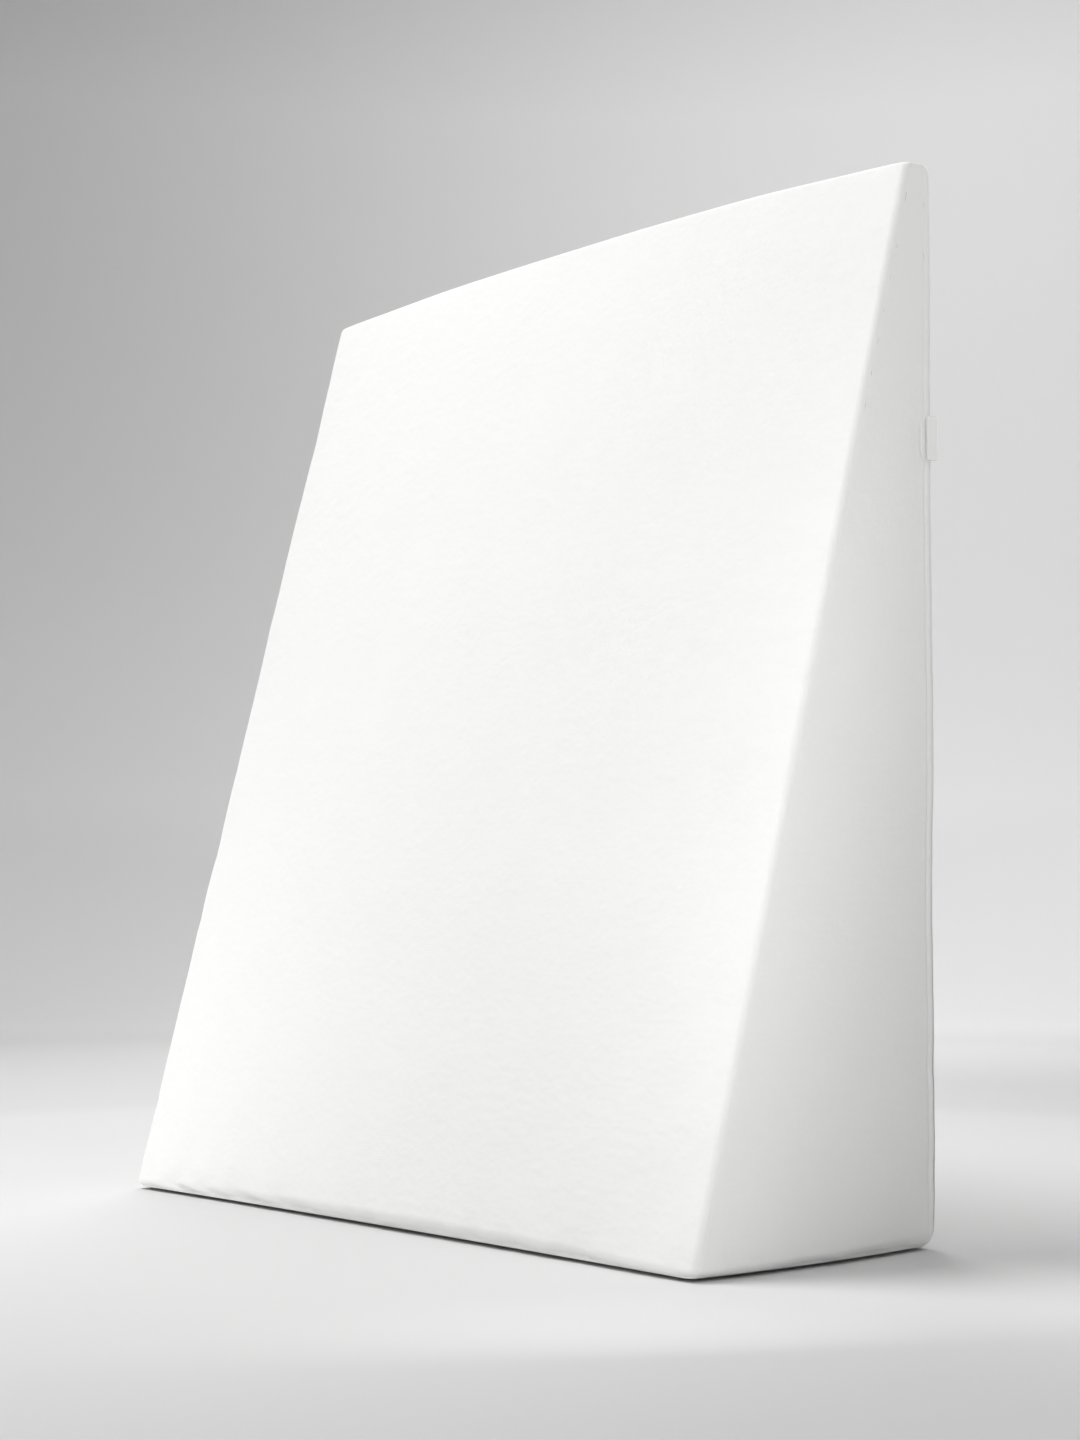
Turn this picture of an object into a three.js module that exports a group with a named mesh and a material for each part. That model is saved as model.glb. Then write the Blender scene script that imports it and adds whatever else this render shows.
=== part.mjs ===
// A wedge-shaped foam pillow in a snug white cover, standing upright on its thick end.
// Millimetres, +Z up. The sloping face looks towards -Y and the upright back towards +Y.
// The origin lies on the floor, under the middle of the thick end.
import * as THREE from 'three';
import { mergeVertices } from 'three/addons/utils/BufferGeometryUtils.js';

// The wedge is 24 inches wide and 27 inches long, and its faces are measured between their
// sharp corners, before the edges are rounded.
const WIDTH = 610;
const HEIGHT = 688;
const DEPTH = 220; // the thick end, from the slope's foot to the back
const TIP_DEPTH = 29; // the thin end

// Edge rounding of the cover over the foam.
const BASE_ROUND = 8; // lower edges, at the corners
const BASE_ROUND_SWELL = 3; // more rounding at the middle of the two long lower edges
const FRONT_EDGE_ROUND = 6; // the two sloping edges
const REAR_EDGE_ROUND = 13; // the two upright rear edges
const TIP_FRONT_ROUND = 5; // where the slope turns onto the thin top
const TIP_REAR_ROUND = 8; // where the thin top turns onto the back
const TIP_END_ROUND = 5; // both ends of the thin top
const TIP_END_SHARE = 0.6; // share of that round that is made on the tip's corners
const LARGEST_SHARE = 0.45; // an edge never rounds off more than this share of the depth

// Crown: how far the middle of each panel stands out past its own edges.
const SLOPE_CROWN = 5;
const BACK_CROWN = 5;
const SIDE_CROWN = 8; // at the thick end, and less with the square of the side's depth
const RIDGE_CROWN = 8; // the thin top edge is higher in the middle
const CROWN_POWER = 2.5; // a higher power keeps the middle of a panel flatter
const SIDE_CROWN_POWER = 2; // an even curve from the slope's edge to the rear edge
const FOOT_CROWN_SHARE = 0.25; // share of the side crown that is left at the floor

// The small folded label in the rear seam of the right-hand side.
const LABEL_HEIGHT = 28;
const LABEL_REACH = 8;
const LABEL_LAYER = 1;
const LABEL_SPACE = 0.5; // between its two layers
const LABEL_MIDDLE_Z = 512;
const LABEL_LEAN = THREE.MathUtils.degToRad(6); // away from the side panel
const GAP = 0.3; // between touching pieces

// Steps of the mesh, from coarse curves to fine ones.
const STEPS = { panel: 20, side: 8, corner: 4, base: 4, body: 22, tip: 4, top: 2 };

const COVER_WHITE = '#f3f3f1';
const LABEL_WHITE = '#ececea';

const SLOPE_LEAN = Math.atan2(DEPTH - TIP_DEPTH, HEIGHT);
const QUARTER_TURN = Math.PI / 2;
const SLOPE_TURN = QUARTER_TURN + SLOPE_LEAN; // from straight down to square off the slope

/** Centre of a round of this radius at this height that just touches the slope from inside. */
function slopeRoundCentre(radius, z) {
  const inset = (radius + z * Math.sin(SLOPE_LEAN)) / Math.cos(SLOPE_LEAN);
  return { y: inset - DEPTH / 2, z };
}

const TIP_FRONT_CENTRE = slopeRoundCentre(TIP_FRONT_ROUND, HEIGHT - TIP_FRONT_ROUND);
const TIP_REAR_CENTRE = { y: DEPTH / 2 - TIP_REAR_ROUND, z: HEIGHT - TIP_REAR_ROUND };

/** One at the middle of a panel (p = 0) and nothing at its edges (p = -1 or 1). */
function bulge(p, power = CROWN_POWER) {
  return 1 - Math.min(1, Math.abs(p)) ** power;
}

/** How far a side of this depth stands out, at a share of the way from front to rear. */
function sideSwell(share, depth) {
  return SIDE_CROWN * bulge(2 * share - 1, SIDE_CROWN_POWER) * (depth / DEPTH) ** 2;
}

/** A point at the given distance from a centre, along a direction given from straight down. */
function onArc(centre, radius, turn) {
  return { y: centre.y + radius * Math.sin(turn), z: centre.z - radius * Math.cos(turn) };
}

/** The point at share s of the way from a to b. */
function between(a, b, s) {
  return { y: a.y + (b.y - a.y) * s, z: a.z + (b.z - a.z) * s };
}

/** Rows of the mesh from the foot to the top: which stretch each is on, and how far along it. */
function listRows() {
  const rows = [];
  for (let k = 0; k < STEPS.base; k += 1) rows.push({ stretch: 'base', share: k / STEPS.base });
  for (let k = 0; k < STEPS.body; k += 1) rows.push({ stretch: 'body', share: k / STEPS.body });
  for (let k = 0; k < STEPS.tip; k += 1) rows.push({ stretch: 'tip', share: k / STEPS.tip });
  for (let k = 0; k <= STEPS.top; k += 1) rows.push({ stretch: 'top', share: k / STEPS.top });
  return rows;
}

/**
 * The front and rear ends of one row, in the upright section at the place across.
 * across runs from -1 at the left-hand side to 1 at the right-hand side.
 */
function rowEnds(row, across) {
  const round = BASE_ROUND + BASE_ROUND_SWELL * (1 - across ** 2);
  const frontCentre = slopeRoundCentre(round, round);
  const rearCentre = { y: DEPTH / 2 - round, z: round };
  const rest = 1 - row.share;
  let front;
  let rear;
  if (row.stretch === 'base') {
    front = onArc(frontCentre, round, -row.share * SLOPE_TURN);
    rear = onArc(rearCentre, round, row.share * QUARTER_TURN);
  } else if (row.stretch === 'body') {
    const slopeFoot = onArc(frontCentre, round, -SLOPE_TURN);
    const slopeTop = onArc(TIP_FRONT_CENTRE, TIP_FRONT_ROUND, -SLOPE_TURN);
    const backTop = { y: DEPTH / 2, z: TIP_REAR_CENTRE.z };
    const swell = bulge(across) * bulge(2 * row.share - 1);
    front = between(slopeFoot, slopeTop, row.share);
    front.y -= SLOPE_CROWN * swell * Math.cos(SLOPE_LEAN);
    front.z += SLOPE_CROWN * swell * Math.sin(SLOPE_LEAN);
    rear = between({ y: DEPTH / 2, z: round }, backTop, row.share);
    rear.y += BACK_CROWN * swell;
  } else if (row.stretch === 'tip') {
    const frontTurn = -Math.PI + rest * (Math.PI - SLOPE_TURN);
    front = onArc(TIP_FRONT_CENTRE, TIP_FRONT_ROUND, frontTurn);
    rear = onArc(TIP_REAR_CENTRE, TIP_REAR_ROUND, Math.PI - rest * QUARTER_TURN);
  } else {
    const ridgeY = (TIP_FRONT_CENTRE.y + TIP_REAR_CENTRE.y) / 2;
    front = { y: ridgeY + (TIP_FRONT_CENTRE.y - ridgeY) * rest, z: HEIGHT };
    rear = { y: ridgeY + (TIP_REAR_CENTRE.y - ridgeY) * rest, z: HEIGHT };
  }
  for (const end of [front, rear]) {
    end.z += RIDGE_CROWN * (1 - across ** 2) * (end.z / HEIGHT) ** 3;
  }
  return { front, rear };
}

/** Half the width of one row: narrower on the round of the base and towards the thin top. */
function halfWidth(row) {
  const turn = QUARTER_TURN * row.share;
  const topTurn = QUARTER_TURN * TIP_END_SHARE + turn * (1 - TIP_END_SHARE);
  const inset = {
    base: BASE_ROUND * (1 - Math.sin(turn)),
    body: 0,
    tip: TIP_END_ROUND * (1 - Math.cos(turn * TIP_END_SHARE)),
    top: TIP_END_ROUND * (1 - Math.cos(topTurn)),
  };
  return WIDTH / 2 - inset[row.stretch];
}

/**
 * Half of one row, from the middle of the front round the right-hand side to the middle of
 * the rear, as places {x, part} where part runs from 0 at the front to 1 at the rear.
 */
function halfRow(row) {
  const reach = halfWidth(row);
  const ends = rowEnds(row, 1);
  const depth = Math.hypot(ends.rear.y - ends.front.y, ends.rear.z - ends.front.z);
  const frontRound = Math.min(FRONT_EDGE_ROUND, LARGEST_SHARE * depth);
  const rearRound = Math.min(REAR_EDGE_ROUND, LARGEST_SHARE * depth);
  const frontPart = depth > 0 ? frontRound / depth : 0;
  const rearPart = depth > 0 ? rearRound / depth : 0;
  const places = [];
  const halfPanel = STEPS.panel / 2;
  for (let k = 0; k < halfPanel; k += 1) {
    places.push({ x: (reach - frontRound) * k / halfPanel, part: 0 });
  }
  for (let k = 0; k < STEPS.corner; k += 1) {
    const turn = QUARTER_TURN * k / STEPS.corner;
    places.push({
      x: reach - frontRound * (1 - Math.sin(turn)),
      part: frontPart * (1 - Math.cos(turn)),
    });
  }
  const foot = row.stretch === 'base'
    ? FOOT_CROWN_SHARE + (1 - FOOT_CROWN_SHARE) * Math.sin(row.share * QUARTER_TURN)
    : 1;
  for (let k = 0; k < STEPS.side; k += 1) {
    const share = k / STEPS.side;
    places.push({
      x: reach + foot * sideSwell(share, depth),
      part: frontPart + (1 - frontPart - rearPart) * share,
    });
  }
  for (let k = 0; k < STEPS.corner; k += 1) {
    const turn = QUARTER_TURN * k / STEPS.corner;
    places.push({
      x: reach - rearRound * (1 - Math.cos(turn)),
      part: 1 - rearPart * (1 - Math.sin(turn)),
    });
  }
  for (let k = halfPanel; k >= 0; k -= 1) {
    places.push({ x: (reach - rearRound) * k / halfPanel, part: 1 });
  }
  return places;
}

/** One closed row of points, first the right-hand half and then its mirror image. */
function rowPoints(row) {
  const right = halfRow(row);
  const left = right.slice(1, -1).reverse().map(({ x, part }) => ({ x: -x, part }));
  return [...right, ...left].map(({ x, part }) => {
    const { front, rear } = rowEnds(row, Math.max(-1, Math.min(1, 2 * x / WIDTH)));
    const place = between(front, rear, part);
    return new THREE.Vector3(x, place.y, place.z);
  });
}

/** A closed geometry of numbered corners: doubles are merged and collapsed faces left out. */
function closedGeometry(points, faces) {
  const loose = new THREE.BufferGeometry().setFromPoints(points);
  loose.setIndex(faces.flat());
  const merged = mergeVertices(loose, 1e-4);
  const index = merged.getIndex();
  const kept = [];
  for (let k = 0; k < index.count; k += 3) {
    const [a, b, c] = [index.getX(k), index.getX(k + 1), index.getX(k + 2)];
    if (a !== b && b !== c && c !== a) kept.push(a, b, c);
  }
  merged.setIndex(kept);
  merged.computeVertexNormals();
  return merged;
}

/** The filled wedge: rows of points from the flat foot up to the thin top edge. */
function wedgeGeometry() {
  const rows = listRows().map(rowPoints);
  const around = rows[0].length;
  const faces = [];
  for (let r = 0; r + 1 < rows.length; r += 1) {
    for (let k = 0; k < around; k += 1) {
      const here = r * around + k;
      const next = r * around + (k + 1) % around;
      faces.push([here, next, next + around], [here, next + around, here + around]);
    }
  }
  const footMiddle = rows.length * around;
  for (let k = 0; k < around; k += 1) faces.push([footMiddle, (k + 1) % around, k]);
  return closedGeometry([...rows.flat(), new THREE.Vector3(0, 0, 0)], faces);
}

/** The label: one tape folded back on itself, its fold outwards and its two ends in the seam. */
function labelGeometry() {
  const outer = LABEL_LAYER + LABEL_SPACE / 2;
  const inner = LABEL_SPACE / 2;
  const foldAt = LABEL_REACH - outer;
  const section = new THREE.Shape();
  section.moveTo(-outer, 0);
  section.lineTo(-inner, 0);
  section.lineTo(-inner, foldAt);
  section.absarc(0, foldAt, inner, Math.PI, 0, true);
  section.lineTo(inner, 0);
  section.lineTo(outer, 0);
  section.lineTo(outer, foldAt);
  section.absarc(0, foldAt, outer, 0, Math.PI, false);
  const options = { depth: LABEL_HEIGHT, bevelEnabled: false, curveSegments: 6 };
  return new THREE.ExtrudeGeometry(section, options);
}

/** How far the side panel stands past its edges at a height above the round of the base. */
function sideStand(y, z) {
  const frontY = -DEPTH / 2 + z * Math.tan(SLOPE_LEAN) + FRONT_EDGE_ROUND;
  const rearY = DEPTH / 2 - REAR_EDGE_ROUND;
  return sideSwell((y - frontY) / (rearY - frontY), rearY - frontY);
}

/** The filled, covered foam wedge. */
function makeWedge() {
  const material = new THREE.MeshStandardMaterial({
    color: COVER_WHITE, roughness: 0.9, metalness: 0,
  });
  const wedge = new THREE.Mesh(wedgeGeometry(), material);
  wedge.name = 'wedge_pillow';
  return wedge;
}

/** The blank label, its ends just clear of the seam where side panel and rear edge meet. */
function makeLabel() {
  const material = new THREE.MeshStandardMaterial({
    color: LABEL_WHITE, roughness: 0.7, metalness: 0,
  });
  const label = new THREE.Mesh(labelGeometry(), material);
  label.name = 'side_label';
  const seamY = DEPTH / 2 - REAR_EDGE_ROUND;
  const halfThick = LABEL_LAYER + LABEL_SPACE / 2;
  label.position.set(
    WIDTH / 2 + sideStand(seamY, LABEL_MIDDLE_Z) + GAP + halfThick,
    seamY,
    LABEL_MIDDLE_Z - LABEL_HEIGHT / 2,
  );
  label.rotation.z = -LABEL_LEAN;
  return label;
}

const pillow = new THREE.Group();
pillow.add(makeWedge(), makeLabel());

export default pillow;
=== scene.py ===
"""A wedge-shaped foam pillow in a snug white cover, standing upright on its thick end.

Metres, +Z up. The sloping face looks towards -Y, the upright back towards +Y and the floor
is z = 0. The cover is one closed surface: rows run round the wedge and climb from the foot
to the thin top edge, and columns run from the foot up each panel.
"""

import logging
import math
from dataclasses import asdict, dataclass, replace
from enum import Enum, IntEnum
from functools import cache

import bpy
import numpy as np
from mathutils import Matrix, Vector


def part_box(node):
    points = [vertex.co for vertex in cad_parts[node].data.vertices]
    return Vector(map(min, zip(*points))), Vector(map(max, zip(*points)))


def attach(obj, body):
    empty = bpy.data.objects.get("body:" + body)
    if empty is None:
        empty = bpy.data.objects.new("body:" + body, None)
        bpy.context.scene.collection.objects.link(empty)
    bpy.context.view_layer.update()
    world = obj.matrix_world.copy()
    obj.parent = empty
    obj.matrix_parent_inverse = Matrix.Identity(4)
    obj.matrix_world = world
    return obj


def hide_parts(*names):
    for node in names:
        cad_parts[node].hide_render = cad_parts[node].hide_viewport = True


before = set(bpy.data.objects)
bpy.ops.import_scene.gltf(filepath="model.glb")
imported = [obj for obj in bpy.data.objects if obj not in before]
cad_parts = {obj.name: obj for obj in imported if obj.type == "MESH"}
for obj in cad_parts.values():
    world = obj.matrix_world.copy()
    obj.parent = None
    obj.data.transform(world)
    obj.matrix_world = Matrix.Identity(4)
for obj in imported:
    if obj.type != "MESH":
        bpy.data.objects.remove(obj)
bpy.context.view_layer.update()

log = logging.getLogger("wedge_pillow")
QUARTER_TURN = math.pi / 2
MM = 0.001
TINY = 1e-9


class Stretch(IntEnum):
    """The stretches of rows, from the floor up."""

    FOOT = 0
    BASE = 1
    BODY = 2
    TIP = 3
    TOP = 4


class Panel(IntEnum):
    """The parts of the cover that one row crosses, in order round the wedge."""

    SLOPE_RIGHT = 0
    FRONT_ROUND_RIGHT = 1
    SIDE_RIGHT = 2
    REAR_ROUND_RIGHT = 3
    BACK = 4
    REAR_ROUND_LEFT = 5
    SIDE_LEFT = 6
    FRONT_ROUND_LEFT = 7
    SLOPE_LEFT = 8


class Slot(Enum):
    """The record's material slots."""

    COVER = "cover_cloth"
    LABEL = "label_tape"


# Whole-array helpers


def bulge(place: np.ndarray, power: float) -> np.ndarray:
    """One in the middle of a panel and nothing at its edges: 1 - |place| ^ power.

    Args:
        place: Place across the panel, from -1 to 1.
        power: A higher power keeps the middle flatter.

    Returns:
        The share of the crown at each place.
    """
    return 1.0 - np.minimum(1.0, np.abs(place)) ** power


def hump(distance: np.ndarray, width: float) -> np.ndarray:
    """A smooth hump of height one: e ^ -(distance / width)^2.

    Args:
        distance: Distance from the middle of the hump.
        width: Distance at which it has fallen to about a third.

    Returns:
        The height at each distance.
    """
    return np.exp(-((distance / width) ** 2))


def smooth_step(value: np.ndarray) -> np.ndarray:
    """From 0 to 1 with level ends, as v * v * (3 - 2 v), for v held between 0 and 1."""
    held = np.clip(value, 0.0, 1.0)
    return held * held * (3.0 - 2.0 * held)


def refined(coarse: np.ndarray, times: int, closed: bool) -> np.ndarray:
    """More values along the first axis, on smooth curves through the given ones.

    Each gap gets times - 1 new values on the Catmull-Rom cubic through its four neighbours.

    Args:
        coarse: The values, the first axis being the one that gets more of them.
        times: New steps in each old one.
        closed: Whether the last value is followed by the first.

    Returns:
        The finer array, which ends at the last value where the axis is open.
    """
    padding = [(1, 2)] + [(0, 0)] * (coarse.ndim - 1)
    line = np.pad(coarse, padding, mode="wrap" if closed else "edge")
    before, start, end, after = (line[k : k + len(coarse), None] for k in range(4))
    t = (np.arange(times) / times).reshape((1, times) + (1,) * (coarse.ndim - 1))
    cubic = (
        start
        + (end - before) * t / 2
        + (2 * before - 5 * start + 4 * end - after) * t**2 / 2
        + (3 * start - before - 3 * end + after) * t**3 / 2
    )
    fine = cubic.reshape((-1,) + coarse.shape[1:])
    return fine if closed else fine[: (len(coarse) - 1) * times + 1]


def grid_normals(points: np.ndarray) -> np.ndarray:
    """Unit normals of a closed grid: the cross product of its two directions.

    Args:
        points: Rows by columns by xyz, the columns closed round.

    Returns:
        Outward normals of the same shape, and zero where the grid is pinched to a point.
    """
    along = np.roll(points, -1, axis=1) - np.roll(points, 1, axis=1)
    up = np.gradient(points, axis=0)
    normal = np.cross(along, up)
    length = np.linalg.norm(normal, axis=2, keepdims=True)
    return np.where(length > 1e-12, normal / np.maximum(length, 1e-12), 0.0)


def vertex_ids(form: np.ndarray) -> np.ndarray:
    """Numbers for the grid points, the same number for points that share a place."""
    _, ids = np.unique(np.round(form.reshape(-1, 3), 6), axis=0, return_inverse=True)
    return ids.reshape(form.shape[:2])


def cell_corners(values: np.ndarray) -> np.ndarray:
    """The four corner values of each cell of a grid whose columns are closed round."""
    right = np.roll(values, -1, axis=1)
    return np.stack([values[:-1], right[:-1], right[1:], values[1:]], axis=2)


def climbs(points: np.ndarray) -> np.ndarray:
    """Length of each column of a grid from its first row to each point."""
    step = np.linalg.norm(np.diff(points, axis=0), axis=2)
    return np.concatenate([np.zeros((1, points.shape[1])), np.cumsum(step, axis=0)])


def linked(name: str, data: bpy.types.ID) -> bpy.types.Object:
    """Makes an object of this data and links it to the scene."""
    made = bpy.data.objects.new(name, data)
    bpy.context.scene.collection.objects.link(made)
    return made


def closed_mesh(
    name: str, form: np.ndarray, final: np.ndarray, cell_uv: np.ndarray | None = None
) -> bpy.types.Object:
    """Makes a closed surface of a grid whose columns run round and whose ends are pinched.

    Grid points that share a place in the form become one vertex, at their mean final place.

    Args:
        name: Name of the new object.
        form: Rows by columns by xyz, before any relief.
        final: The same grid after it.
        cell_uv: For each cell, the cloth coordinates of its four corners.

    Returns:
        The object, smooth shaded, with a "cloth" UV map if cell_uv is given.
    """
    ids = vertex_ids(form)
    total = np.zeros((ids.max() + 1, 3))
    np.add.at(total, ids.ravel(), final.reshape(-1, 3))
    places = total / np.bincount(ids.ravel())[:, None]
    cells = cell_corners(ids).reshape(-1, 4)
    doubled = cells == np.roll(cells, 1, axis=1)  # a corner that repeats the one before it
    pinched = doubled.any(1)
    corners = [row[~twin].tolist() for row, twin in zip(cells[pinched], doubled[pinched])]
    order = np.concatenate([np.flatnonzero(~pinched), np.flatnonzero(pinched)])
    faces = cells[~pinched].tolist() + corners
    kept = np.array([len(set(face)) > 2 for face in faces])
    faces = [face for face, keep in zip(faces, kept) if keep]
    mesh = bpy.data.meshes.new(name)
    mesh.from_pydata(places, [], faces)
    mesh.polygons.foreach_set("use_smooth", np.ones(len(faces), bool))
    if cell_uv is not None:
        flat = cell_uv.reshape(-1, 4, 2)
        stay = ~doubled[order][kept]
        mesh.uv_layers.new(name="cloth").uv.foreach_set(
            "vector", flat[order][kept][stay].astype(np.float32).ravel()
        )
    mesh.update()
    return linked(name, mesh)


def vertex_values(form: np.ndarray, values: np.ndarray) -> np.ndarray:
    """The largest grid value at each vertex that closed_mesh makes of the form.

    Args:
        form: Rows by columns by xyz, as given to closed_mesh.
        values: Rows by columns, one value for each grid point.

    Returns:
        One value for each vertex.
    """
    ids = vertex_ids(form)
    found = np.full(ids.max() + 1, -np.inf)
    np.maximum.at(found, ids.ravel(), values.ravel())
    return found


# The wedge and its label


@dataclass(frozen=True)
class WedgeSizes:
    """Sizes of the filled wedge, between the sharp corners of its faces."""

    width: float
    height: float
    depth: float
    tip_depth: float = 29 * MM
    base_round: float = 6 * MM
    base_round_swell: float = 5 * MM
    rear_base_round: float = 12 * MM
    side_base_round: float = 11 * MM
    front_edge_round: float = 6 * MM
    rear_edge_round: float = 13 * MM
    tip_front_round: float = 5 * MM
    tip_rear_round: float = 8 * MM
    tip_end_round: float = 5 * MM
    tip_end_share: float = 0.6
    largest_share: float = 0.45
    slope_crown: float = 5 * MM
    back_crown: float = 5 * MM
    side_crown: float = 8 * MM
    side_crown_power: float = 2.0
    side_depth_power: float = 2.0
    ridge_crown: float = 8 * MM
    crown_power: float = 2.5
    foot_crown_share: float = 0.25

    @classmethod
    def from_frame(cls, node: str) -> "WedgeSizes":
        """The sizes of the CAD solid, whose box reaches as far as its crowns.

        Args:
            node: Name of the CAD node.

        Returns:
            Sizes between the sharp corners.
        """
        _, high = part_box(node)
        return cls(
            width=2 * (high.x - cls.side_crown),
            height=high.z - cls.ridge_crown,
            depth=2 * (high.y - cls.back_crown),
        )

    @property
    def lean(self) -> float:
        """Angle of the sloping face from upright."""
        return math.atan2(self.depth - self.tip_depth, self.height)


@dataclass(frozen=True)
class Steps:
    """Cells of the grid on each stretch of rows and each part of a row."""

    foot: int = 6
    base: int = 15
    body: int = 219
    tip: int = 9
    top: int = 3
    half_panel: int = 60
    round: int = 10
    side: int = 44
    rear_round: int = 18
    ROWS = ("foot", "base", "body", "tip", "top")

    def thinned(self, rows: int, columns: int) -> "Steps":
        """The same grid with one row in rows and one column in columns."""
        keep = {name: rows if name in self.ROWS else columns for name in asdict(self)}
        return Steps(**{name: count // keep[name] for name, count in asdict(self).items()})


class WedgeForm:
    """The wedge's surface as a function of the row and of the place round it."""

    LOW_ROWS_CLOSER = 1.15
    FOOT_RINGS_OUTWARD = 2.2

    def __init__(self, sizes: WedgeSizes, steps: Steps) -> None:
        """Lists the rows and the columns.

        Args:
            sizes: Sizes of the wedge.
            steps: Cells of the grid.
        """
        self.sizes, self.steps = sizes, steps
        counts = [steps.foot, steps.base, steps.body, steps.tip, steps.top + 1]
        cells = [steps.foot, steps.base, steps.body, steps.tip, steps.top]
        self.stretch = np.repeat(np.arange(len(counts)), counts)[:, None]
        self.share = np.concatenate([np.arange(n) / c for n, c in zip(counts, cells)])[:, None]
        body = self.stretch == Stretch.BODY
        self.share = np.where(body, self.share**self.LOW_ROWS_CLOSER, self.share)
        half = [steps.half_panel, steps.round, steps.side, steps.rear_round, steps.half_panel]
        around = half[:4] + [2 * steps.half_panel] + half[:4][::-1]
        self.cell_panels = np.repeat(np.arange(len(Panel)), around)
        bounds = np.cumsum(half)
        columns = 2 * bounds[-1]
        self.front_seams = [bounds[1], columns - bounds[1]]
        self.rear_seams = [bounds[2], columns - bounds[2]]
        back = bounds[2] + steps.rear_round // 3
        self.back_seams = [back, columns - back]

    def slope_round_centre(self, radius: np.ndarray, z: np.ndarray) -> tuple:
        """Centre (y, z) of a round of this radius that just touches the slope from inside."""
        lean = self.sizes.lean
        inset = (radius + z * math.sin(lean)) / math.cos(lean)
        return inset - self.sizes.depth / 2, z

    def row_ends(self, across: np.ndarray) -> tuple[np.ndarray, ...]:
        """Front and rear ends of every row in the upright section at each place across.

        Rows turn round the lower edges, climb the two faces with their crown, turn round the
        two edges of the thin end and meet on its ridge. Arcs are centre + radius * (sin, -cos).

        Args:
            across: Place from -1 at the left-hand side to 1 at the right-hand side.

        Returns:
            Front y, front z, rear y and rear z.
        """
        s, share = self.sizes, self.share
        lean, turn = s.lean, QUARTER_TURN
        slope_turn = turn + lean
        base = s.base_round + s.base_round_swell * (1 - across**2)
        tip_front = self.slope_round_centre(s.tip_front_round, s.height - s.tip_front_round)
        tip_rear = (s.depth / 2 - s.tip_rear_round, s.height - s.tip_rear_round)
        base_front = self.slope_round_centre(base, base)
        low_rear = s.rear_base_round
        base_rear = (s.depth / 2 - low_rear, low_rear)

        def arc(centre: tuple, radius: np.ndarray, angle: np.ndarray) -> tuple:
            """The point on a round, its angle counted from straight down towards the back."""
            return centre[0] + radius * np.sin(angle), centre[1] - radius * np.cos(angle)

        slope_foot = arc(base_front, base, -slope_turn)
        slope_top = arc(tip_front, s.tip_front_round, -slope_turn)
        swell = bulge(across, s.crown_power) * bulge(2 * share - 1, s.crown_power)
        ridge = (tip_front[0] + tip_rear[0]) / 2
        still = 0 * share * across
        stretches = [
            (*arc(base_front, base, still), *arc(base_rear, low_rear, still)),
            (*arc(base_front, base, -share * slope_turn), *arc(base_rear, low_rear, share * turn)),
            (
                slope_foot[0] + (slope_top[0] - slope_foot[0]) * share
                - s.slope_crown * swell * math.cos(lean),
                slope_foot[1] + (slope_top[1] - slope_foot[1]) * share
                + s.slope_crown * swell * math.sin(lean),
                s.depth / 2 + s.back_crown * swell,
                low_rear + (tip_rear[1] - low_rear) * share,
            ),
            (
                *arc(tip_front, s.tip_front_round, (1 - share) * (math.pi - slope_turn) - math.pi),
                *arc(tip_rear, s.tip_rear_round, math.pi - (1 - share) * turn),
            ),
            (
                tip_front[0] + (ridge - tip_front[0]) * share,
                s.height,
                tip_rear[0] + (ridge - tip_rear[0]) * share,
                s.height,
            ),
        ]
        which = self.stretch + still.astype(int)
        front_y, front_z, rear_y, rear_z = (
            np.choose(which, [np.broadcast_to(value, still.shape) for value in kind])
            for kind in zip(*stretches)
        )
        rise = s.ridge_crown * (1 - across**2)
        return (
            front_y,
            front_z + rise * (front_z / s.height) ** 3,
            rear_y,
            rear_z + rise * (rear_z / s.height) ** 3,
        )

    def half_section(self) -> tuple[np.ndarray, np.ndarray]:
        """Half of every row, from the middle of the slope round the right to the back's middle.

        A row is a rectangle with a small round at the front edge, a larger one at the rear
        edge and a crowned side between them.

        Returns:
            The x of each place, and its part of the way from the front end to the rear end.
        """
        s, n = self.sizes, self.steps
        turn = self.share * QUARTER_TURN
        tip_turn = s.tip_end_share * turn
        top_turn = s.tip_end_share * QUARTER_TURN + (1 - s.tip_end_share) * turn
        half = s.width / 2
        reach = np.choose(
            self.stretch,
            [
                half - s.side_base_round + 0 * turn,
                half - s.side_base_round * (1 - np.sin(turn)),
                half + 0 * turn,
                half - s.tip_end_round * (1 - np.cos(tip_turn)),
                half - s.tip_end_round * (1 - np.cos(top_turn)),
            ],
        )
        front_y, front_z, rear_y, rear_z = self.row_ends(np.ones((1, 1)))
        depth = np.hypot(rear_y - front_y, rear_z - front_z)
        front_round = np.minimum(s.front_edge_round, s.largest_share * depth)
        rear_round = np.minimum(s.rear_edge_round, s.largest_share * depth)
        front_part, rear_part = (r / np.maximum(depth, TINY) for r in (front_round, rear_round))
        panel = np.arange(n.half_panel)[None] / n.half_panel
        angle = QUARTER_TURN * np.arange(n.round)[None] / n.round
        rear_angle = QUARTER_TURN * np.arange(n.rear_round)[None] / n.rear_round
        side = (1 - np.cos(math.pi * np.arange(n.side)[None] / n.side)) / 2
        lower = self.stretch <= Stretch.BASE
        climb = np.where(self.stretch == Stretch.BASE, np.sin(turn), 0.0)
        foot = np.where(lower, s.foot_crown_share + (1 - s.foot_crown_share) * climb, 1.0)
        full = s.side_crown * foot * (depth / s.depth) ** s.side_depth_power
        swell = full * bulge(2 * side - 1, s.side_crown_power)
        back = np.arange(n.half_panel, -1, -1)[None] / n.half_panel
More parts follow.
